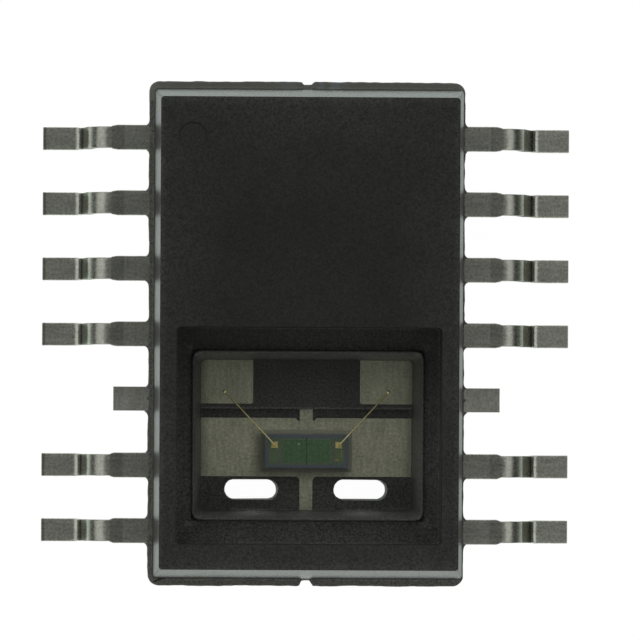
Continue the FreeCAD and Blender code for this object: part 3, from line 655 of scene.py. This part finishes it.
def tube(points, radius):
    """A round tube along points in an upright plane."""
    angles = [math.tau * k / WIRE_STEPS for k in range(WIRE_STEPS)]
    rings = []
    for index, point in enumerate(points):
        before = points[max(0, index - 1)]
        after = points[min(len(points) - 1, index + 1)]
        along = (after - before).normalized()
        across = Vector((along.y, -along.x, 0))
        if across.length < 1e-6:
            across = Vector((1, 0, 0))
        across.normalize()
        up = across.cross(along)
        circle = [across * math.cos(angle) + up * math.sin(angle) for angle in angles]
        rings.append([point + radius * out for out in circle])
    return stack(rings)


def bond_wire(side, material):
    """A ball on the die, a loop that rises straight and comes down to the pad, and its stitch there."""
    start = Vector((side * DIE_BOND.x, DIE_BOND.y, DIE_HIGH.z))
    end = Vector((side * PAD_BOND.x, PAD_BOND.y, FRAME_TOP))
    flat = Vector((end.x - start.x, end.y - start.y, 0))
    run = flat.length
    ahead = flat.normalized()
    landing = end.z - start.z + WIRE / 2
    loop = [
        (0, LOOP_START),
        (0, LOOP_HEIGHT * 0.62),
        (LOOP_LEAN, LOOP_HEIGHT),
        (run * 0.20, LOOP_HEIGHT * 0.86),
        (run * 0.62, landing + (LOOP_HEIGHT - landing) * 0.40),
        (run * 0.93, landing + 0.006),
        (run + LOOP_DIP, landing - WIRE * 0.3),
    ]
    points = [start + ahead * max(0, spot.x) + Vector((0, 0, spot.y)) for spot in smooth_line(loop)]
    ball = [(share * BALL / 2, start.z + height) for share, height in BALL_PROFILE]
    stitch = [(radius, end.z + height) for radius, height in STITCH_PROFILE]
    parts = [
        tube(points, WIRE / 2),
        stack(turned_rings(start.x, start.y, ball, BALL_STEPS)),
        stack(turned_rings(end.x, end.y, stitch, BALL_STEPS)),
    ]
    piece = new_piece(f"gold_wire_{SIDES[side]}", *join_parts(parts), material, "gold_wire")
    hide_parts(f"sensor_wire_{SIDES[side]}")


# Sensor die


def plate(low, high, edge):
    """A thin rectangular plate whose upper edges are eased, from its low corner to its high one."""
    levels = [(low[2], 0), (high[2] - edge, 0), (high[2] - edge * 0.3, edge * 0.3), (high[2], edge)]
    rings = []
    for level, inset in levels:
        left, right = low[0] + inset, high[0] - inset
        near, far = low[1] + inset, high[1] - inset
        corners = ((left, near), (right, near), (right, far), (left, far))
        rings.append([Vector((*corner, level)) for corner in corners])
    return stack(rings)


def die_film(low, high):
    """A film on the die's face between two corners in plan, sunk a little into it."""
    top = DIE_HIGH.z
    return plate((*low, top - FILM_EDGE), (*high, top + FILM), FILM_EDGE)


def die_piece(name, shape, material):
    return new_piece(name, *shape, material, "sensor_silicon", smooth=False)


def sensor_die(silicon, array, metal, trim):
    """The die's block with the sensing array's halves, two bond pads and the trim marks as films."""
    block = die_piece("sensor_die_block", plate(DIE_LOW, DIE_HIGH, DIE_EDGE), silicon)
    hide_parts("sensor_die")
    for side, name in SIDES.items():
        left, right = sorted((side * ARRAY_GAP, side * ARRAY_REACH))
        half_array = die_film((left, DIE_MIDDLE.y - ARRAY_HALF), (right, DIE_MIDDLE.y + ARRAY_HALF))
        die_piece(f"sensor_array_{name}", half_array, array)
        x = side * DIE_BOND.x
        y = DIE_BOND.y
        pad = die_film((x - BOND_PAD_HALF, y - BOND_PAD_HALF), (x + BOND_PAD_HALF, y + BOND_PAD_HALF))
        die_piece(f"sensor_bond_pad_{name}", pad, metal)
    marks = join_parts([die_film(low, high) for low, high in TRIM_MARKS])
    die_piece("sensor_trim_mark", marks, trim)


# Material helpers


class Field:
    """A value that varies over a surface. Arithmetic with it adds math nodes to its tree."""

    def __init__(self, tree, socket):
        self.tree = tree
        self.socket = socket

    def __add__(self, other):
        return combine("ADD", self, other)

    def __sub__(self, other):
        return combine("SUBTRACT", self, other)

    def __rsub__(self, other):
        return combine("SUBTRACT", other, self)

    def __mul__(self, other):
        return combine("MULTIPLY", self, other)

    def __truediv__(self, other):
        return combine("DIVIDE", self, other)

    def __abs__(self):
        return combine("ABSOLUTE", self)

    def above(self, level):
        """1 where the value is over the level, and 0 elsewhere."""
        return combine("GREATER_THAN", self, level)

    def below(self, level):
        """1 where the value is under the level, and 0 elsewhere."""
        return combine("LESS_THAN", self, level)

    def mapped(self, source=(0, 1), target=(0, 1)):
        """The value carried from one range to another, and held at its ends."""
        node = add(self.tree, "ShaderNodeMapRange", Value=self, From_Min=source[0], From_Max=source[1],
                   To_Min=target[0], To_Max=target[1])
        return Field(self.tree, node.outputs[0])

    def band(self, low, high, soft):
        """1 where the value is between low and high, with soft ends."""
        return self.mapped((low - soft, low + soft)) * self.mapped((high + soft, high - soft))

    def split(self):
        """The three parts of a vector."""
        node = add(self.tree, "ShaderNodeSeparateXYZ", Vector=self)
        return [Field(self.tree, socket) for socket in node.outputs]


def feed(value, socket):
    """Links a field to the socket, or sets the socket to a plain number or colour."""
    if isinstance(value, Field):
        value.tree.links.new(value.socket, socket)
    elif isinstance(value, tuple):
        socket.default_value = (*value, 1)
    else:
        socket.default_value = value


def settle(node, **inputs):
    """Feeds the node's inputs by name, with _ for a space."""
    for key, value in inputs.items():
        feed(value, node.inputs[key.replace("_", " ")])


def add(tree, kind, **inputs):
    node = tree.nodes.new(kind)
    settle(node, **inputs)
    return node


def combine(operation, first, second=0.0):
    """A math node's result from two values, of which at least one is a field."""
    tree = first.tree if isinstance(first, Field) else second.tree
    node = tree.nodes.new("ShaderNodeMath")
    node.operation = operation
    feed(first, node.inputs[0])
    feed(second, node.inputs[1])
    return Field(tree, node.outputs[0])


def larger(first, second):
    return combine("MAXIMUM", first, second)


def distance(across, along):
    """How far a place is, from how far it is along each of two axes."""
    return combine("SQRT", across * across + along * along)


def grey(value):
    return (value, value, value)


def scaled(vector, factor):
    """A vector or colour times a number."""
    node = vector.tree.nodes.new("ShaderNodeVectorMath")
    node.operation = "SCALE"
    feed(vector, node.inputs[0])
    feed(factor, node.inputs["Scale"])
    return Field(vector.tree, node.outputs[0])


def stretched(vector, factors):
    """A vector whose three parts are each times a factor of their own."""
    node = vector.tree.nodes.new("ShaderNodeVectorMath")
    node.operation = "MULTIPLY"
    feed(vector, node.inputs[0])
    node.inputs[1].default_value = factors
    return Field(vector.tree, node.outputs[0])


def noise_of(place, scale, detail=3.0, roughness=0.6):
    node = add(place.tree, "ShaderNodeTexNoise", Vector=place, Scale=scale, Detail=detail,
               Roughness=roughness)
    return Field(place.tree, node.outputs["Fac"])


def tones(factor, low, high, pair):
    """From the pair's first colour, where the factor is low, to its second."""
    dark, light = pair
    return ramp(factor, (low, dark), (high, light))


def ramp(factor, *stops):
    """A colour ramp; each stop is (position, colour)."""
    node = add(factor.tree, "ShaderNodeValToRGB", Fac=factor)
    elements = node.color_ramp.elements
    while len(elements) < len(stops):
        elements.new(0.5)
    for element, (position, colour) in zip(elements, stops):
        element.position = position
        element.color = (*colour, 1)
    return Field(factor.tree, node.outputs["Color"])


def mix(factor, first, second):
    """The first colour where the factor is 0, the second where it is 1."""
    node = factor.tree.nodes.new("ShaderNodeMix")
    node.data_type = "RGBA"
    feed(factor, node.inputs[0])
    feed(first, node.inputs[6])
    feed(second, node.inputs[7])
    return Field(factor.tree, node.outputs[2])


def facing(tree):
    """The three parts of the direction that the surface faces."""
    geometry = tree.nodes.new("ShaderNodeNewGeometry")
    return Field(tree, geometry.outputs["Normal"]).split()


def bump(shader, height, depth, strength):
    node = add(height.tree, "ShaderNodeBump", Height=height, Distance=depth, Strength=strength)
    settle(shader, Normal=Field(height.tree, node.outputs["Normal"]))


def new_material(name):
    """A material, its shader, and the surface's place in the object's own millimetres."""
    material = bpy.data.materials.new(name)
    material.use_nodes = True
    tree = material.node_tree
    where = tree.nodes.new("ShaderNodeTexCoord")
    place = scaled(Field(tree, where.outputs["Object"]), 1 / MM)
    return material, tree.nodes["Principled BSDF"], place


def dress_node(name, material):
    """Gives a node of the frame its material."""
    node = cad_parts[name]
    node.data.materials.clear()
    node.data.materials.append(material)


# Moulding material. Distances are in millimetres; a lift is a share of painted light or shade added to the
# resin's lightness

# Half size of the upper face as the shading takes it, and the resin's index of refraction on its faces
FACE_X = 2.88
FACE_Y = 4.54
RESIN_INDEX = 1.47

# Colours of the resin and of the flash on the flange. Pairs are (dark, light)
RESIN = ((0.006, 0.006, 0.0055), (0.038, 0.038, 0.036))
RESIN_GLOSS = (1.0, 1.0, 0.97)
SIDE_GLOSS = ((0.66, 0.76, 0.72), (0.96, 1.0, 0.98))
FLASH = ((0.056, 0.056, 0.050), (0.200, 0.200, 0.176))
FLASH_ABOVE = (0.235, 0.235, 0.200)
FLASH_BESIDE = (0.200, 0.200, 0.172)
SCAR = (0.230, 0.260, 0.260)
NICK = grey(0.004)


def painted_lip_light(x, y):
    """Painted light and shade round the cavity's lip: painted light at its foot on the ledge and on its wall
    towards the floor, and on its land painted shade that deepens outwards.
    """
    beside = abs(x) - LIP_X
    beyond = abs(y - FLOOR_MIDDLE) - LIP_Y
    away = larger(beside, beyond)
    foot = away.mapped((0, 0.15), (1.3, 0)) * away.band(0, 0.2, 0.005)
    at_end = (beyond - beside).mapped((-0.06, 0.06), (0.7, 2.0))
    fading = y.mapped((-3.6, -2.0), (0.42, 1.0))
    wall = away.band(0.015 - LIP_LAND - WALL_RUN, 0.01 - LIP_LAND, 0.02) * (at_end * fading)
    land = away.mapped((-LIP_LAND, -0.012), (0.15, -0.40)) * away.band(0.01 - LIP_LAND, 0.004, 0.006)
    return wall + land + foot


def painted_floor_light(x, y, z):
    """Painted light on the floor: a painted highlight along the edge of its step, and painted light beyond
    the slots.
    """
    edge = y.band(STEP - 0.01, STEP + 0.04, 0.008) * z.band(FRAME_TOP - 0.05, FRAME_TOP + 0.01, 0.005)
    spill = abs(x).band(0.80, 1.32, 0.22) * y.band(-3.50, -3.41, 0.03)
    return edge + spill * 2.8


def painted_index_light(x, y):
    """The index mark's rim, with a painted highlight at its lower side and painted shade at its upper one.
    """
    mark_x, mark_y, radius = INDEX
    across = x - mark_x
    along = y - mark_y
    ring = distance(across, along).band(radius - 0.022, radius + 0.012, 0.014)
    return ring * along.mapped((-radius, radius), (0.55, -0.60))


def resin_level(x, y, z, rimward, cloud):
    """How light the black resin is: lighter towards the rim, with a painted sheen on the drafted sides, and
    lighter down the cavity and in its pit, with painted shade at the cavity's upper end.
    """
    deep = z.band(PADDLE_TOP - 0.05, TOP - 0.2, 0.01) * rimward.below(0.93)
    # Lighter towards the rim, and a painted sheen on the drafted sides
    rimward_and_sheen = rimward.mapped((0.55, 1.0), (0.55, 1.15)) + rimward.mapped((0.955, 1.0), (0, 0.7))
    # Painted shade at the cavity's upper end, lighter towards its lower end and in the pit
    pit = y.mapped((-0.2, -4.0), (0.32, 1.38)) * deep.mapped(target=(0.25, 2.0))
    level = cloud.mapped((0.35, 0.65), (0.85, 1.12)) * (rimward_and_sheen + pit)
    # Painted light and shade of the floor, the lip and the index mark
    lift = (painted_floor_light(x, y, z) + painted_lip_light(x, y)) * deep + 1.0 + painted_index_light(x, y)
    return level * lift


def flange_colour(x, y, grain, torn):
    """Flash on the flange: lighter at the upper end and beside the leads, with a gate scar and a nick."""
    colour = tones(grain, 0.34, 0.66, FLASH)
    upper = y.above(4.5)
    colour = mix(upper * 0.60, colour, FLASH_ABOVE)
    beside = abs(x).above(FLANGE_X + 0.02)
    colour = mix(beside, colour, FLASH_BESIDE)
    gate = larger(x.band(-0.62, 0.10, 0.15) * 0.5, x.band(0.16, 0.80, 0.06))
    scar = gate * upper * torn.mapped((0.40, 0.56))
    colour = mix(scar, colour, SCAR)
    slanted = y - (x + 2.82) * 0.36
    nick = slanted.band(-4.785, -4.745, 0.012) * x.band(-2.95, -2.69, 0.02)
    return mix(nick, colour, NICK)


def wall_index(z, facing_y, at_side, torn):
    """Index of refraction that gives the drafted sides their gloss: patchy, and highest at the upper end."""
    side = z.mapped((FRAME_TOP, TOP - 0.1), (1.26, 1.60))
    end = facing_y.mapped((-0.5, 0.5), (1.52, 2.3))
    patch = torn.mapped((0.38, 0.62), (-0.07, 0.07))
    return side * at_side + end * (1.0 - at_side) + patch


def epoxy():
    """Black mould compound: matt and grained on its faces, smoother on its drafted sides."""
    material, shader, place = new_material("black_epoxy")
    grain = noise_of(place, 25.0)
    cloud = noise_of(place, 1.1, roughness=0.55)
    torn = noise_of(place, 5.0, roughness=0.7)
    x, y, z = place.split()
    facing_x, facing_y, facing_z = facing(place.tree)
    rimward = larger(abs(x) / FACE_X, abs(y) / FACE_Y)
    body = scaled(tones(grain, 0.30, 0.70, RESIN), resin_level(x, y, z, rimward, cloud))
    flange = z.band(FRAME_UNDER - 0.02, FRAME_TOP + 0.03, 0.02) * rimward.above(1.01)
    colour = mix(flange, body, flange_colour(x, y, grain, torn))
    outer = abs(facing_z).below(0.5) * rimward.above(0.965)
    at_side = abs(facing_x).above(0.6)
    polish = outer * (1.0 - at_side * 0.2)
    tint = mix(outer, RESIN_GLOSS, tones(grain, 0.35, 0.62, SIDE_GLOSS))
    extra = (wall_index(z, facing_y, at_side, torn) - RESIN_INDEX) * (outer * z.above(FRAME_TOP))
    settle(shader, Base_Color=colour, Roughness=polish.mapped(target=(0.60, 0.25)), Specular_Tint=tint,
           IOR=extra + RESIN_INDEX)
    bump(shader, grain, 0.005 * MM, 0.8)
    return material


# Plating of the leads and of the strip in the cavity, as (dark, light)

TIN = ((0.39, 0.40, 0.335), (0.66, 0.68, 0.585))
INNER = ((0.40, 0.41, 0.30), (0.72, 0.74, 0.55))
BARE = ((0.38, 0.39, 0.335), (0.65, 0.67, 0.585))


def die_shadow(x, y):
    """How light the plating is round the sensor die: a soft shadow to its left and below, a glow above."""
    shift = 0.09
    beside = larger(abs(x - (DIE_MIDDLE.x - shift)) - DIE_HALF.x, 0.0)
    beyond = larger(abs(y - (DIE_MIDDLE.y - shift)) - DIE_HALF.y, 0.0)
    shadow = distance(beside, beyond).mapped((0, 0.20), (0.48, 1.0))
    glow = y.band(DIE_HIGH.y, DIE_HIGH.y + 0.22, 0.06) * x.band(DIE_LOW.x, DIE_HIGH.x, 0.10)
    return shadow * glow.mapped(target=(1.0, 1.18))


def lead_shade_and_marks(x, z, leg):
    """How dark a lead is: painted shade on its leg and inside its foot's bend, and darker at its cut tip and
    bend start.
    """
    inside_bend = z.band(0.25, 0.36, 0.02)
    tip = x.band(-LEAD_TIP - 0.1, 0.062 - LEAD_TIP, 0.010)
    start = abs(x).band(3.555, 3.80, 0.012)
    return larger(larger(leg * 0.30, inside_bend * 0.72), larger(tip * 0.42, start * 0.24))


def stub_root(out, y):
    """A dark spot where each cut lead leaves the moulding."""
    spot = distance((out - 3.045) * 0.8, y - row_y(CUT))
    return spot.mapped((0.022, 0.045), (0.25, 1.0))


def plating(name, pair, roughness, streaks, foot_lift=0.0, shade=0.0, stub_lift=0.0, formed=False):
    """Matt plated strip with rolling streaks.

    The feet and the cut stubs are lighter by a share, the strip has painted shade by a share towards the
    signal chip, from the cavity's upper wall, and near the cavity's side walls, and a formed strip has
    painted shade on its legs and inside its feet's bends and is darker at its cut tips and bend starts.
    """
    material, shader, place = new_material(name)
    x, y, z = place.split()
    grain = noise_of(place, 20.0)
    streak = noise_of(stretched(place, streaks), 6.0)
    cloud = noise_of(place, 2.5, detail=2.0, roughness=0.5)
    fine = grain * 0.65 + streak * 0.35
    mixed = fine * 0.8 + cloud * 0.2
    out = abs(x)
    bare = out.above(FLANGE_X - 0.02)
    colour = mix(bare, tones(mixed, 0.36, 0.64, pair), tones(mixed, 0.36, 0.64, BARE))
    foot = z.mapped((0.45, 0.15), (1.0, 1.0 + foot_lift))
    # Painted shade towards the cavity's upper wall
    inner = y.mapped((-1.9, -0.6), (1.0, 1.0 - shade))
    across = x.mapped((-4.5, 4.5), (0.98, 1.16))
    stub = bare.mapped(target=(1.0, 1.0 + stub_lift))
    # Painted shade where the cavity's side walls meet the strip
    wall = 1.0 - out.band(1.96, 2.30, 0.09) * 0.40
    level = foot * inner * across * stub * stub_root(out, y) * die_shadow(x, y) * wall
    if formed:
        # Painted shade on the legs and inside the feet's bends, and darker cut tips and bend starts
        leg = z.band(0.262, 0.93, 0.02)
        level = level * (1.0 - lead_shade_and_marks(x, z, leg))
        grazing = x.mapped((-1.0, 1.0), (0.55, 0.74))
        settle(shader, Specular_Tint=mix(1.0 - leg * grazing, grey(0.0), grey(1.0)))
    settle(shader, Base_Color=scaled(colour, level), Metallic=1.0,
           Roughness=fine.mapped((0.3, 0.7), (roughness - 0.05, roughness + 0.05)))
    bump(shader, grain, 0.002 * MM, 0.6)
    return material


# Materials of the die, its films, its adhesive and its wires. Pairs are (dark, light)

DIE_RIM = ((0.094, 0.117, 0.130), (0.160, 0.188, 0.202))
DIE_FIELD = ((0.102, 0.141, 0.093), (0.170, 0.226, 0.150))
DIE_PATCH = (0.145, 0.215, 0.112)
DIE_LINE = (0.050, 0.080, 0.050)
ARRAY = ((0.044, 0.144, 0.038), (0.158, 0.310, 0.128))
ARRAY_LINE = (0.034, 0.072, 0.046)
ARRAY_CELL = 0.024
FLECK = (0.30, 0.33, 0.28)
GOLD = ((0.80, 0.74, 0.34), (0.95, 0.92, 0.50))
GOLD_ON_PAD = (0.84, 0.76, 0.39)
TRIM = ((0.30, 0.26, 0.10), (0.46, 0.40, 0.16))
PASTE = ((0.130, 0.132, 0.110), (0.236, 0.236, 0.200))
# Painted light on the die attach
PASTE_PAINTED_LIGHT = (0.46, 0.475, 0.38)


def silicon():
    """Die edge and border: blue-grey oxide over silicon."""
    material, shader, place = new_material("die_silicon")
    x, y, _ = place.split()
    grain = noise_of(place, 30.0)
    patch = abs(x).band(0.55, 0.74, 0.02) * y.band(-2.47, -2.25, 0.02)
    field = mix(patch * 0.7, tones(grain, 0.3, 0.7, DIE_FIELD), DIE_PATCH)
    field = mix(x.band(-0.012, 0.012, 0.003), field, DIE_LINE)
    within = (x.band(DIE_LOW.x + 0.075, DIE_HIGH.x - 0.075, 0.02)
              * y.band(DIE_LOW.y + 0.065, DIE_HIGH.y - 0.075, 0.02))
    colour = mix(within, tones(grain, 0.3, 0.7, DIE_RIM), field)
    settle(shader, Base_Color=colour, Roughness=0.30, Metallic=0.3)
    bump(shader, grain, 0.001 * MM, 0.3)
    return material


def sensing_array():
    """The green sensing areas, ruled into fine cells."""
    material, shader, place = new_material("sensing_array")
    x, y, _ = place.split()
    lines = [combine("FRACT", value / ARRAY_CELL).above(0.72) for value in (x, y)]
    grid = larger(*lines)
    grain = noise_of(place, 24.0, roughness=0.7)
    colour = mix(grid, tones(grain, 0.3, 0.7, ARRAY), ARRAY_LINE)
    fleck = distance(x + 0.15, y + 2.13).mapped((0.030, 0.012))
    settle(shader, Base_Color=mix(fleck, colour, FLECK), Roughness=0.35, IOR=1.6)
    bump(shader, grid, 0.0006 * MM, 0.5)
    return material


def gold():
    """Gold with a fine grain, matt and of an even tone on the ball bonds and their pads."""
    material, shader, place = new_material("gold_wire")
    grain = noise_of(place, 40.0, detail=2.0, roughness=0.5)
    x, y, _ = place.split()
    half = 0.07
    on_pad = (abs(x).band(DIE_BOND.x - half, DIE_BOND.x + half, 0.004)
              * y.band(DIE_BOND.y - half, DIE_BOND.y + half, 0.004))
    colour = mix(on_pad, tones(grain, 0.3, 0.7, GOLD), GOLD_ON_PAD)
    settle(shader, Base_Color=colour, Metallic=1.0, Roughness=on_pad.mapped(target=(0.42, 0.80)))
    bump(shader, grain, 0.0006 * MM, 0.4)
    return material


def trim_metal():
    """Thin dull metal of the trim marks."""
    material, shader, place = new_material("trim_metal")
    grain = noise_of(place, 40.0, detail=2.0, roughness=0.5)
    settle(shader, Base_Color=tones(grain, 0.3, 0.7, TRIM), Metallic=1.0, Roughness=0.60)
    bump(shader, grain, 0.0006 * MM, 0.4)
    return material


def adhesive():
    """Silver-filled die attach, dark against the die and lighter away from it as a painted shadow, with
    painted light above the die and at its right.
    """
    material, shader, place = new_material("die_attach")
    grain = noise_of(place, 30.0, detail=4.0)
    x, y, _ = place.split()
    away = larger(abs(x - DIE_MIDDLE.x) - DIE_HALF.x, abs(y - DIE_MIDDLE.y) - DIE_HALF.y)
    thin = away.mapped((0.01, 0.075))
    over = y.mapped((DIE_HIGH.y - 0.02, DIE_HIGH.y + 0.03))
    right = x.mapped((DIE_HIGH.x - 0.02, DIE_HIGH.x + 0.03), (0, 0.80))
    # Painted shadow fading away from the die, and painted light above it and at its right
    painted_light = larger(larger(over, right), thin * 0.50)
    colour = mix(painted_light, tones(grain, 0.3, 0.7, PASTE), PASTE_PAINTED_LIGHT)
    settle(shader, Base_Color=colour, Roughness=0.42)
    bump(shader, grain, 0.002 * MM, 0.5)
    return material


# Studio: pale floor, soft dome and the camera at the photograph's angle

IMAGE = 640
SCALE_AT_FRAME = 51.6
CAMERA_DISTANCE = 180.0
SENSOR = 36.0
TILT = 1.8
LEAN = 0.36
ROLL = 0.30
AIM = Vector((0.252, 0.272, 1.25))

# In metres
CLIP_START = 0.01
CLIP_END = 10
FLOOR_HALF = 0.4
FLOOR_LEVEL = -0.002 * MM

# Colours of the floor and its glow as pairs, and what the floor and the dome show to the camera alone
FLOOR_GREY = (grey(0.06), grey(0.07))
FLOOR_GLOW = ((0.93, 1.0, 0.955), (0.91, 0.98, 0.935))
FLOOR_SEEN = grey(0.98)
DOME_SEEN = grey(1.12)

# Half size of the square round the object where the floor is lightest
POOL = 5.1


def camera():
    data = bpy.data.cameras.new("camera")
    data.sensor_width = SENSOR
    data.lens = SENSOR * CAMERA_DISTANCE * SCALE_AT_FRAME / IMAGE
    data.clip_start = CLIP_START
    data.clip_end = CLIP_END
    roll = math.radians(ROLL)
    back = Vector((-math.tan(math.radians(TILT)), -math.tan(math.radians(LEAN)), 1)).normalized()
    up = Vector((-math.sin(roll), math.cos(roll), 0))
    up = (up - back * up.dot(back)).normalized()
    matrix = Matrix((up.cross(back), up, back)).transposed().to_4x4()
    matrix.translation = (AIM + back * CAMERA_DISTANCE) * MM
    eye = linked("camera", data)
    eye.matrix_world = matrix
    scene.camera = eye


def seen_or_cast(light, seen):
    """The light that a surface casts on the object, and another colour where the camera sees it."""
    path = light.tree.nodes.new("ShaderNodeLightPath")
    return mix(Field(light.tree, path.outputs["Is Camera Ray"]), light, seen)


def pale_floor():
    """A pale floor that throws light up at the object from close round it, less of it from the right."""
    corners = [(across * FLOOR_HALF, along * FLOOR_HALF, FLOOR_LEVEL)
               for across, along in ((-1, -1), (1, -1), (1, 1), (-1, 1))]
    mesh = bpy.data.meshes.new("floor")
    mesh.from_pydata(corners, [], [(0, 1, 2, 3)])
    floor = linked("floor", mesh)
    material, shader, place = new_material("pale_floor")
    speck = noise_of(place, 0.8, detail=2.0, roughness=0.5)
    x, y, _ = place.split()
    away = larger(abs(x) - POOL, abs(y) - POOL)
    pool = away.mapped((0, 3.2), (0.95, 0.10)) * x.mapped((2.8, 5.6), (1.0, 0.48))
    glow = scaled(mix(speck, *FLOOR_GLOW), pool)
    settle(shader, Base_Color=tones(speck, 0.3, 0.7, FLOOR_GREY), Roughness=0.9,
           Emission_Color=seen_or_cast(glow, FLOOR_SEEN), Emission_Strength=1.0)
    mesh.materials.append(material)


def studio_dome():
    """Soft light by height above the horizon: dim overhead, a bright broad ring, dim near the floor."""
    world = bpy.data.worlds.new("studio")
    world.use_nodes = True
    scene.world = world
    tree = world.node_tree
    where = tree.nodes.new("ShaderNodeTexCoord")
    x, _, z = Field(tree, where.outputs["Generated"]).split()
    light = ramp(z, (0.0, grey(1.0)), (0.79, grey(1.0)), (0.86, grey(0.20)), (1.0, grey(0.165)))
    low = (z - x * 0.11).mapped((0.28, 0.40), (0.07, 1.0))
    sideways = abs(x).mapped((0.35, 0.75), (1.0, 0.76))
    right = x.mapped((0.35, 0.75), (1.0, 0.88))
    light = scaled(scaled(light, low), sideways * right)
    settle(tree.nodes["Background"], Color=seen_or_cast(light, DOME_SEEN), Strength=0.84)


def build():
    scene.view_settings.view_transform = "Standard"
    scene.view_settings.look = "None"
    black = epoxy()
    tin = plating("lead_plating", TIN, roughness=0.28, streaks=(0.4, 3.0, 3.0), foot_lift=0.30,
                  formed=True)
    inner = plating("leadframe_plating", INNER, roughness=0.36, streaks=(3.0, 0.5, 3.0), shade=0.35,
                    stub_lift=0.40)
    bright_gold = gold()
    blue_silicon = silicon()
    glue = adhesive()
    moulding(black)
    for side in SIDES:
        for row in range(ROWS):
            position = row + 1 if side < 0 else 2 * ROWS - row
            if row == CUT:
                dress_node(f"lead_{position:02d}_cut", inner)
            else:
                formed_lead(f"lead_{position:02d}", side, row, tin)
        bond_wire(side, bright_gold)
    dress_node("die_paddle", inner)
    dress_node("sensor_die_attach", glue)
    dress_node("signal_chip", blue_silicon)
    dress_node("signal_chip_attach", glue)
    for position in (1, 2, 3, 4, 5, 10, 11, 12, 13, 14):
        dress_node(f"bond_wire_{position:02d}", bright_gold)
    sensor_die(blue_silicon, sensing_array(), bright_gold, trim_metal())
    pale_floor()
    studio_dome()
    camera()


build()
